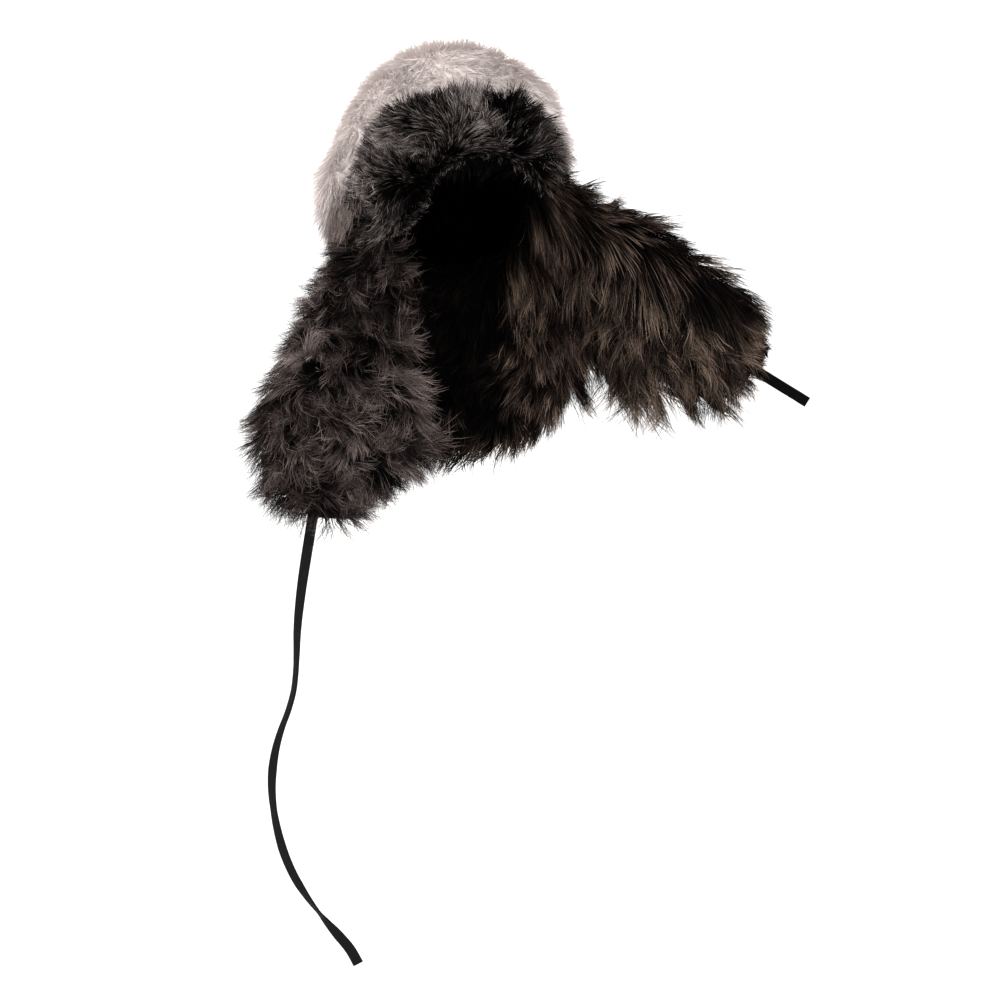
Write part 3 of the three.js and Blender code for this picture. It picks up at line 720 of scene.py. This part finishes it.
def make_mesh(name, part, material):
    """A mesh object in metres from arrays in millimetres, with its map."""
    points, quads, tips, places = part
    corners = np.concatenate([quads.ravel(), tips.ravel()]).astype(np.int32)
    sizes = np.concatenate([np.full(len(quads), 4), np.full(len(tips), 3)])
    starts = np.concatenate([[0], np.cumsum(sizes)[:-1]]).astype(np.int32)
    mesh = bpy.data.meshes.new(name)
    mesh.vertices.add(len(points))
    mesh.vertices.foreach_set("co", (points * METRES).astype(np.float32).ravel())
    mesh.loops.add(len(corners))
    mesh.loops.foreach_set("vertex_index", corners)
    mesh.polygons.add(len(sizes))
    mesh.polygons.foreach_set("loop_start", starts)
    mesh.polygons.foreach_set("use_smooth", np.ones(len(sizes), bool))
    layer = mesh.uv_layers.new(name="OFBake")
    layer.data.foreach_set("uv", places[corners].astype(np.float32).ravel())
    mesh.update(calc_edges=True)
    mesh.materials.append(material)
    return placed(name, mesh)


def new_material(name):
    """A material with its node tree and its shader."""
    material = bpy.data.materials.new(name)
    material.use_nodes = True
    return material, material.node_tree, material.node_tree.nodes["Principled BSDF"]


def set_inputs(tree, node, inputs):
    """Give each input of a node a value, or join it to another node's output."""
    for name, value in inputs.items():
        if isinstance(value, bpy.types.NodeSocket):
            tree.links.new(value, node.inputs[name])
        else:
            node.inputs[name].default_value = value


def new_node(tree, kind, inputs, **settings):
    node = tree.nodes.new("ShaderNode" + kind)
    for name, setting in settings.items():
        setattr(node, name, setting)
    set_inputs(tree, node, inputs)
    return node


def own_map(tree):
    """The piece's own map, as a vector."""
    return new_node(tree, "UVMap", {}, uv_map="OFBake").outputs["UV"]


def ramp(tree, factor, rows):
    node = new_node(tree, "ValToRGB", {"Fac": factor})
    stops = node.color_ramp.elements
    for place, (tone, colour) in enumerate(rows):
        stop = stops[place] if place < 2 else stops.new(tone)
        stop.position = tone
        stop.color = linear(colour)
    return node.outputs["Color"]


def mixed(tree, factor, first, second, way="MIX"):
    inputs = {"Factor": factor, "A": first, "B": second}
    return new_node(tree, "Mix", inputs, data_type="RGBA", blend_type=way).outputs["Result"]


def ranged(tree, value, low, high):
    inputs = {"Value": value, "From Min": low, "From Max": high}
    return new_node(tree, "MapRange", inputs, interpolation_type="SMOOTHSTEP").outputs["Result"]


def bumped(tree, height, strength, distance):
    inputs = {"Height": height, "Strength": strength, "Distance": distance}
    return new_node(tree, "Bump", inputs).outputs["Normal"]


def fur_material(name, tones, roughness, sheen, tips_from):
    """Fur whose colour follows its tone and the height up the strand, with streaks along it."""
    material, tree, shader = new_material(name)
    place = own_map(tree)
    split = new_node(tree, "SeparateXYZ", {"Vector": place})
    tone = split.outputs["X"]
    height = split.outputs["Y"]
    root, middle, tip = (
        ramp(tree, tone, [(row[0], row[column]) for row in tones]) for column in (1, 2, 3)
    )
    lower = mixed(tree, ranged(tree, height, 0.1, tips_from + 0.1), root, middle)
    colour = mixed(tree, ranged(tree, height, tips_from, 0.95), lower, tip)
    stretch = new_node(tree, "Mapping", {"Vector": place, "Scale": (260, 5, 1)}).outputs["Vector"]
    noise = new_node(tree, "TexNoise", {"Vector": stretch, "Scale": 1.0, "Detail": 2.0})
    streak = noise.outputs["Fac"]
    span = {"Value": streak, "To Min": roughness - 0.12, "To Max": roughness + 0.12}
    looks = {
        "Base Color": mixed(tree, 0.6, colour, streak, "SOFT_LIGHT"),
        "Roughness": new_node(tree, "MapRange", span).outputs["Result"],
        "Normal": bumped(tree, streak, 0.25, 0.0004),
        "Sheen Weight": sheen,
        "Sheen Roughness": 0.4,
        "Specular IOR Level": 0.02,
    }
    set_inputs(tree, shader, looks)
    return material


def strap_material(name, specular):
    """Black woven strap with fine slanting ribs and lint, from its own map."""
    material, tree, shader = new_material(name)
    fit = {"Vector": own_map(tree), "Scale": (9.0, 260.0, 1), "Rotation": (0, 0, math.radians(2))}
    stretch = new_node(tree, "Mapping", fit).outputs["Vector"]
    ribbing = {"Vector": stretch, "Scale": 1.0, "Distortion": 0.6}
    ribs = new_node(tree, "TexWave", ribbing, bands_direction="DIAGONAL")
    lint = new_node(tree, "TexNoise", {"Vector": stretch, "Scale": 3.0})
    both = {0: ribs.outputs["Fac"], 1: lint.outputs["Fac"]}
    weave = new_node(tree, "Math", both, operation="MULTIPLY").outputs[0]
    looks = {
        "Base Color": ramp(tree, weave, [(0.0, (5, 5, 6)), (0.8, (20, 20, 21))]),
        "Normal": bumped(tree, weave, 0.5, 0.0003),
        "Roughness": 0.8,
        "Specular IOR Level": specular,
    }
    set_inputs(tree, shader, looks)
    return material


def smooth_route(route, steps):
    """Points on one smooth curve through a route's points, evenly spaced, and its length."""
    fine = row_at(route, np.linspace(0, 1, steps * 6 + 1)).T
    travelled = np.concatenate([[0], np.cumsum(np.linalg.norm(np.diff(fine, axis=0), axis=1))])
    even = np.linspace(0, travelled[-1], steps + 1)
    points = np.stack([np.interp(even, travelled, fine[:, axis]) for axis in range(3)], -1)
    return points, travelled[-1]


def strap_part(points, twist):
    """A flat strap along its points, turned about its own line, with rounded selvedges."""
    heading = unit(np.gradient(points, axis=0))
    across = unit(np.cross(heading, np.array([0.0, -1.0, 0.0])))
    shares = np.linspace(0, 1, len(points))
    degrees = np.interp(shares, *np.array(twist, float).T)
    across = turned(across, heading, np.radians(degrees))
    through = np.cross(heading, across)
    turns = (np.arange(TIE_SIDES) + 0.5) / TIE_SIDES * 2 * np.pi
    wide = signed_power(np.cos(turns), TIE_SQUARENESS) * TIE_WIDTH / 2
    deep = signed_power(np.sin(turns), TIE_SQUARENESS) * TIE_THICKNESS / 2
    rings = points[:, None] + across[:, None] * wide[None, :, None]
    rings = rings + through[:, None] * deep[None, :, None]
    quads, caps = tube_faces(len(points), TIE_SIDES)
    sides = (np.arange(TIE_SIDES) / TIE_SIDES)[None]
    places = np.stack(np.broadcast_arrays(sides, shares[:, None]), -1).reshape(-1, 2)
    flat = np.concatenate([rings.reshape(-1, 3), [points[0], points[-1]]])
    places = np.concatenate([places, [[0.5, 0.0], [0.5, 1.0]]])
    return flat, quads, caps, places


def make_tie(name, route, twist, steps, material):
    points, length = smooth_route(route, steps)
    piece = make_mesh(name + "_strap", strap_part(points, twist), material)
    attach(piece, "root")
    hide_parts(name)


def dress(name, node, parts, material):
    """One piece of the given parts, in place of a node of the frame."""
    part = joined(parts)
    piece = make_mesh(name, part, material)
    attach(piece, "root")
    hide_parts(node)
    print(name, 2 * len(part[1]) + len(part[2]), "triangles")


def fur(rng, roots, style):
    path, tone = grow(rng, roots, style)
    return ribbons(rng, path, roots["normal"], tone, style["width"], style["twist"])


def under_brim(along, around):
    """Where the brim covers the crown, as a share."""
    degrees = (around * 360 + 180) % 360 - 180
    share = (degrees - BRIM[0][0]) / (BRIM[-1][0] - BRIM[0][0])
    top = row_at(BRIM, np.clip(share, 0, 1))[1] - brim_drop(degrees)
    height = dome_profile(1 - along, 0.0)[1]
    within = smoothstep(0.5 - np.abs(share - 0.5), -0.02, 0.04)
    return within * smoothstep(top - 8 - height, 0, 8)


def crown_hem(along, around):
    """The rim's edge, from the fur's skin to the leather's inner face."""
    return to_held(dome_point(around * FULL_TURN, 0.04 * (1 - along), 5 - 8 * along))


def make_crown(material):
    rng = np.random.default_rng(SEED)
    surface = dome_surface(CROWN_SKIN_OUT, CROWN_TOP_OUT, CROWN_SWAY, CROWN_CHEEK_OUT)
    inside = to_held(np.array([0, 0, BELLY_HEIGHT]))

    def density(along, around):
        at_right = smoothstep(np.abs(around * 360 - 90), 45, 30) * smoothstep(along, 0.8, 0.88)
        return (1 - under_brim(along, around)) * (1 - at_right) * smoothstep(0.96 - along, 0.0, 0.03)

    def hidden(along, around):
        return np.maximum(under_brim(along, around), smoothstep(along, 0.93, 0.96)) > 0.5

    roots = scatter_roots(rng, surface, CROWN_FUR["strands"], density, inside)
    point = roots["point"]
    along = roots["along"]
    around = roots["around"]
    near_rim = smoothstep(along, 0.75, 0.95)
    roots["comb"] = -CROWNWARD + (0.9 + 1.2 * near_rim)[:, None] * unit(point - inside)
    roots["lift"] = wavering(rng, CROWN_FUR["lift"], point)
    roots["length"] = wavering(rng, CROWN_FUR["length"], point) + 3 * near_rim
    roots["length"] += 7 * left_cheek(along, around)
    roots["length"] += 5 * right_cheek(along, around)
    # Painted shade: the fur turns brown towards the crown's lower left foot, where it turns away from
    # the light
    foot = bell(around * 360, 262, 44) * smoothstep(along, 0.5, 0.85)
    # Painted shade: the fur is darker where the crown catches the most light
    roots["tone"] = wavering(rng, CROWN_FUR["tone"], point) - 0.58 * foot - 0.1 * spot(point, *CROWN_PAINTED_SHADE)
    roots["tone_range"] = CROWN_TONES
    # Painted shade: the skin under the brim, round the hem and inside is near black
    skin = skin_grid(surface, 48, 96, PALE_SKIN, caps=False, patch=(SHADED_HIDDEN_SKIN, hidden))
    hem = skin_grid(crown_hem, 4, 96, SHADED_HIDDEN_SKIN, caps=False)
    inner = skin_grid(dome_surface(-LEATHER), 32, 96, SHADED_HIDDEN_SKIN, caps=False)
    parts = [skin, hem, inner, fur(rng, roots, CROWN_STYLE)]
    dress("crown_fur", "crown", parts, material)


def make_lining(material):
    rng = np.random.default_rng(SEED + 1)
    surface = dome_surface(-LEATHER - LINING_SKIN_IN)
    inside = to_held(np.array([0, 0, BELLY_HEIGHT]))

    def density(along, around):
        return 1 + 3 * smoothstep(along, 0.8, 0.95)

    roots = scatter_roots(rng, surface, LINING_STRANDS, density, inside)
    roots["normal"] = -roots["normal"]
    roots["comb"] = -CROWNWARD + 0.5 * roots["normal"]
    roots["lift"] = np.full(LINING_STRANDS, LINING_LIFT)
    at_right = smoothstep(np.abs(roots["around"] * 360 - 90), 70, 40)
    roots["length"] = LINING_LENGTH + (10 - 12 * at_right) * smoothstep(roots["along"], 0.85, 1.0)
    # Painted shade of the hollow: the lining's fur and its skin below are near black
    roots["tone"] = np.full(LINING_STRANDS, LINING_TONE)
    roots["tone_range"] = LINING_TONES
    skin = skin_grid(surface, 32, 64, 0.0, caps=False)
    parts = [skin, fur(rng, roots, LINING_STYLE)]
    dress("lining_fur", "crown_lining", parts, material)


def make_brim(material):
    rng = np.random.default_rng(SEED + 2)
    surface = brim_surface(BRIM_INSET)

    def density(along, around):
        return 0.02 + smoothstep(np.abs(around - 0.5), 0.1, 0.2)

    roots = scatter_roots(rng, surface, BRIM_FUR["strands"], density)
    point = roots["point"]
    around = roots["around"]
    radial = unit((point - BRIM_OPENING) * np.array([1, 0.2, 1]))
    into = smoothstep(around, 0.5, 0.56) * smoothstep(around, 0.76, 0.68)
    at_left = smoothstep(point[:, 0], -10, -60)
    at_right = smoothstep(point[:, 0], 62, 100)
    inner = into * (1 - 0.6 * at_left)
    roots["comb"] = (radial + 0.35 * CROWNWARD) * (1 - 1.4 * into[:, None]) + 0.3 * roots["normal"]
    roots["comb"][:, 2] -= 1.1 * at_right
    roots["lift"] = wavering(rng, BRIM_FUR["lift"], point)
    roots["length"] = wavering(rng, BRIM_FUR["length"], point) * (1 - 0.48 * at_left)
    roots["length"] *= 1 - 0.55 * inner
    # Painted light and shade: lighter on the brim's left, where the light falls, darker towards its
    # right and where its fur turns into the hollow
    roots["tone"] = wavering(rng, BRIM_FUR["tone"], point) + 0.05 * at_left
    roots["tone"] -= 0.06 * smoothstep(point[:, 0], 20, 80) + 0.1 * inner
    roots["tone_range"] = DARK_TONES
    parts = [skin_grid(surface, 60, 36, DARK_SKIN), fur(rng, roots, BRIM_STYLE)]
    dress("brim_fur", "front_brim", parts, material)


def outside_share(around, none, full):
    """How far a place round a flap is on its outside, as a share."""
    return smoothstep(np.abs(around - 0.75), none, full)


def make_flap(name, node, surface, hair, field, style, seed, material):
    """A flap: its skin, and fur that is dark inside and round the edges and pale outside."""
    rng = np.random.default_rng(seed)

    def density(along, around):
        at_edge = smoothstep(np.abs(np.cos(around * FULL_TURN)), 0.6, 1.0)
        return 1 - 0.55 * outside_share(around, 0.22, 0.12) + 0.8 * at_edge

    def outer(along, around):
        return (np.abs(around - 0.75) < 0.12) & (along > 0.06)

    roots = scatter_roots(rng, surface, hair["strands"], density)
    point = roots["point"]
    along = roots["along"]
    around = roots["around"]
    roots["across"] = np.cos(around * FULL_TURN)
    roots["tipward"] = unit(surface(along + FLAP_STEP, around) - surface(along - FLAP_STEP, around))
    roots["edgeward"] = unit(point - (point + surface(along, 0.5 - around)) / 2)
    field(rng, roots, hair)
    pale = wavering(rng, OUTER_TONE, point)
    share = outside_share(around, 0.16, 0.13) * smoothstep(along, 0.04, 0.12)
    outside = rng.random(len(point)) < share
    longest = np.where(outside, OUTER_LENGTH - 8 * smoothstep(along, 0.6, 0.95), np.inf)
    roots["length"] = np.minimum(roots["length"], longest)
    roots["tone"] = np.where(outside, pale, roots["tone"])
    path, tone = grow(rng, {**roots, "tone_range": (0.0, 1.0)}, style)
    tone = np.where(outside, np.clip(tone, *OUTER_TONES), np.clip(tone, *DARK_TONES))
    width = style["width"] * np.where(outside, 1.5, 1.0)
    strands = ribbons(rng, path, roots["normal"], tone, width, style["twist"])
    skin = skin_grid(surface, 60, 48, DARK_SKIN, patch=(OUTER_SKIN, outer))
    dress(name, node, [skin, strands], material)


def patches(rows, point):
    """The change of tone at each root from a table of painted highlights and shade, in patches."""
    return sum(more * spot(point, x, z, wide, tall) for x, z, wide, tall, more in rows)


def tufts(rows, point):
    """The share added to the fur's length at each root from a table of tufts and gaps."""
    return sum(more * bell(point[:, 0], x, wide) for x, wide, more in rows)


def left_field(rng, roots, hair):
    """The left flap's fur: curly, longer at its foot and right edge, smoother at both edges."""
    point = roots["point"]
    along = roots["along"]
    across = roots["across"]
    right_edge = smoothstep(across, 0.4, 1.0)
    left_edge = smoothstep(-across, 0.5, 1.0)
    either_edge = np.maximum(left_edge, right_edge)
    roots["comb"] = 0.5 * DOWN + 0.9 * roots["edgeward"] * np.abs(across)[:, None]
    roots["comb"] += 0.3 * roots["tipward"]
    roots["lift"] = wavering(rng, hair["lift"], point)
    roots["length"] = wavering(rng, hair["length"], point)
    roots["length"] += 9 * right_edge * (1 - 2.2 * smoothstep(along, 0.5, 0.7))
    roots["length"] += 9 * smoothstep(along, 0.5, 0.95)
    roots["length"] -= 6 * left_edge * smoothstep(along, 0.4, 0.2)
    roots["wild"] = 1 - 0.55 * either_edge
    roots["gather"] = 1 - 0.5 * either_edge
    # Painted highlights and shade in patches on the left flap's fur
    roots["tone"] = wavering(rng, hair["tone"], point) + patches(LEFT_PAINTED_PATCHES, point)


def right_field(rng, roots, hair):
    """The right flap's fur: long and hanging, swept to its tip, shorter along its upper edge."""
    point = roots["point"]
    along = roots["along"]
    upper = roots["across"]
    top = smoothstep(upper, 0.6, 1.0)
    fringe = smoothstep(upper, 0.2, 0.75)
    lower_edge = smoothstep(-upper, 0.4, 0.9)
    start = smoothstep(along, 0.16, 0.08)
    far = smoothstep(along, 0.56, 0.8)
    aside = 0.1 + 0.9 * smoothstep(along, 0.3, 0.65) - 0.6 * smoothstep(along, 0.7, 0.85)
    aside = np.maximum(aside * (1 - 0.5 * top), 0.45 * top)
    upward = 1.2 * top * (1 - 0.6 * start)
    roots["comb"] = DOWN * (1 - 0.8 * top)[:, None] + upward[:, None] * roots["edgeward"]
    roots["comb"] += roots["tipward"] * aside[:, None]
    roots["comb"][:, 2] += 0.6 * start * fringe
    roots["gather"] = 1 - 0.75 * fringe
    roots["wild"] = (1 - 0.7 * fringe) * (1 - 0.5 * start)
    roots["blend"] = 0.25 + 0.7 * fringe
    roots["lift"] = wavering(rng, hair["lift"], point)
    fuller = 1 + tufts(RIGHT_TUFTS, point) * (1 - top) + tufts(RIGHT_FRINGE, point) * top
    shorter = (0.45 - 0.15 * smoothstep(along, 0.3, 0.5) - 0.2 * start) * top
    roots["length"] = wavering(rng, hair["length"], point) * fuller
    roots["length"] *= 1 - np.maximum(shorter, far * (0.74 - 0.3 * lower_edge))
    roots["length"] *= 1 - 0.55 * spot(point, *TIE_EXIT)
    black = smoothstep(upper, 0.76, 0.92) * smoothstep(along, 0.2, 0.4) * (1 - 0.8 * far)
    # Painted highlights and shade in patches on the right flap's fur
    roots["tone"] = wavering(rng, hair["tone"], point) - 0.2 * black + patches(RIGHT_PAINTED_PATCHES, point)


def neck_field(rng, roots, hair):
    """The neck flap's fur: hanging to the left, with painted shade on its upper part under the hollow
    and painted light along its foot and at its right.
    """
    point = roots["point"]
    left_edge = smoothstep(-roots["across"], 0.5, 1.0)
    roots["comb"] = DOWN + 0.3 * roots["edgeward"] - np.array([0.35, 0, 0])
    roots["lift"] = wavering(rng, hair["lift"], point)
    roots["length"] = wavering(rng, hair["length"], point) + 10 * left_edge
    at_right = smoothstep(point[:, 0], 62, 92) * smoothstep(point[:, 2], -160, -200)
    # Painted shade and light: near-black tone under the hollow, fuller tone along the foot and at the
    # right
    lit = np.maximum(0.75 * smoothstep(roots["along"], 0.5, 0.8), at_right)
    roots["tone"] = wavering(rng, hair["tone"], point) * (0.1 + 0.9 * lit)


def make_floor():
    """A pale floor that curves up into a backdrop."""
    material, tree, shader = new_material("studio_paper")
    grain = new_node(tree, "TexNoise", {"Scale": 40.0}).outputs["Fac"]
    colour = ramp(tree, grain, [(0.0, (246, 246, 246)), (1.0, (252, 252, 252))])
    set_inputs(tree, shader, {"Base Color": colour, "Roughness": 0.9})
    profile = [(FLOOR_FRONT, FLOOR_HEIGHT), (BACKDROP_AT - BACKDROP_RADIUS, FLOOR_HEIGHT)]
    for step in range(1, BACKDROP_STEPS + 1):
        turn = step / BACKDROP_STEPS * math.pi / 2
        y = BACKDROP_AT - BACKDROP_RADIUS + BACKDROP_RADIUS * math.sin(turn)
        z = FLOOR_HEIGHT + BACKDROP_RADIUS - BACKDROP_RADIUS * math.cos(turn)
        profile.append((y, z))
    profile.append((BACKDROP_AT, BACKDROP_TOP))
    vertices = [(x, y, z) for y, z in profile for x in (-FLOOR_HALF_WIDTH, FLOOR_HALF_WIDTH)]
    faces = [(2 * i, 2 * i + 1, 2 * i + 3, 2 * i + 2) for i in range(len(profile) - 1)]
    mesh = bpy.data.meshes.new("floor")
    mesh.from_pydata(vertices, [], faces)
    mesh.polygons.foreach_set("use_smooth", [True] * len(faces))
    mesh.materials.append(material)
    floor = placed("floor", mesh)


def make_light(name, place, size, power):
    """A soft square light that points at the hat."""
    data = bpy.data.lights.new(name, "AREA")
    data.shape = "SQUARE"
    data.size = size
    data.energy = power
    light = placed(name, data)
    light.location = place
    heading = np.subtract(LIT_PLACE, place)
    yaw = math.atan2(-heading[0], heading[1])
    pitch = math.atan2(heading[2], math.hypot(heading[0], heading[1]))
    light.rotation_euler = (math.pi / 2 + pitch, 0, yaw)


def make_studio():
    make_floor()
    world = bpy.data.worlds.new("studio")
    world.use_nodes = True
    light = {"Color": (1, 1, 1, 1), "Strength": WORLD_STRENGTH}
    set_inputs(world.node_tree, world.node_tree.nodes["Background"], light)
    bpy.context.scene.world = world
    bpy.context.scene.view_settings.view_transform = "Standard"
    for row in LIGHTS:
        make_light(*row)


make_camera()
# The same black strap twice: more specular on the left and almost none on the right, standing in for the
# light on the left tie and the shade on the right one
make_tie("left_tie", LEFT_TIE_ROUTE, LEFT_TIE_TWIST, 120, strap_material("left_strap", 0.12))
make_tie("right_tie", RIGHT_TIE_ROUTE, RIGHT_TIE_TWIST, 30, strap_material("right_strap", 0.01))
make_studio()

# Looks: name, tones, roughness, sheen, and how far up a strand its tip's colour begins
pale_look = fur_material("pale_fur", PALE_TONES, 0.75, 0.2, 0.6)
brim_look = fur_material("brim_fur_look", BRIM_TONES, 0.7, 0.0, 0.55)
left_look = fur_material("left_flap_fur_look", LEFT_TONES, 0.7, 0.0, 0.3)
right_look = fur_material("right_flap_fur_look", RIGHT_TONES, 0.6, 0.0, 0.45)
make_crown(pale_look)
make_lining(brim_look)
make_brim(brim_look)

left_skin = flap_surface(LEFT_SEWN, LEFT_FLAP, 18, 4)
right_skin = flap_surface(RIGHT_SEWN, RIGHT_FLAP, 16)
neck_skin = flap_surface(NECK_SEWN, NECK_FLAP, 16)
make_flap(
    "left_flap_fur", "left_ear_flap",
    left_skin, LEFT_FUR, left_field, LEFT_STYLE, SEED + 3, left_look,
)
make_flap(
    "right_flap_fur", "right_ear_flap",
    right_skin, RIGHT_FUR, right_field, RIGHT_STYLE, SEED + 4, right_look,
)
make_flap(
    "neck_fur", "neck_flap",
    neck_skin, NECK_FUR, neck_field, NECK_STYLE, SEED + 5, right_look,
)
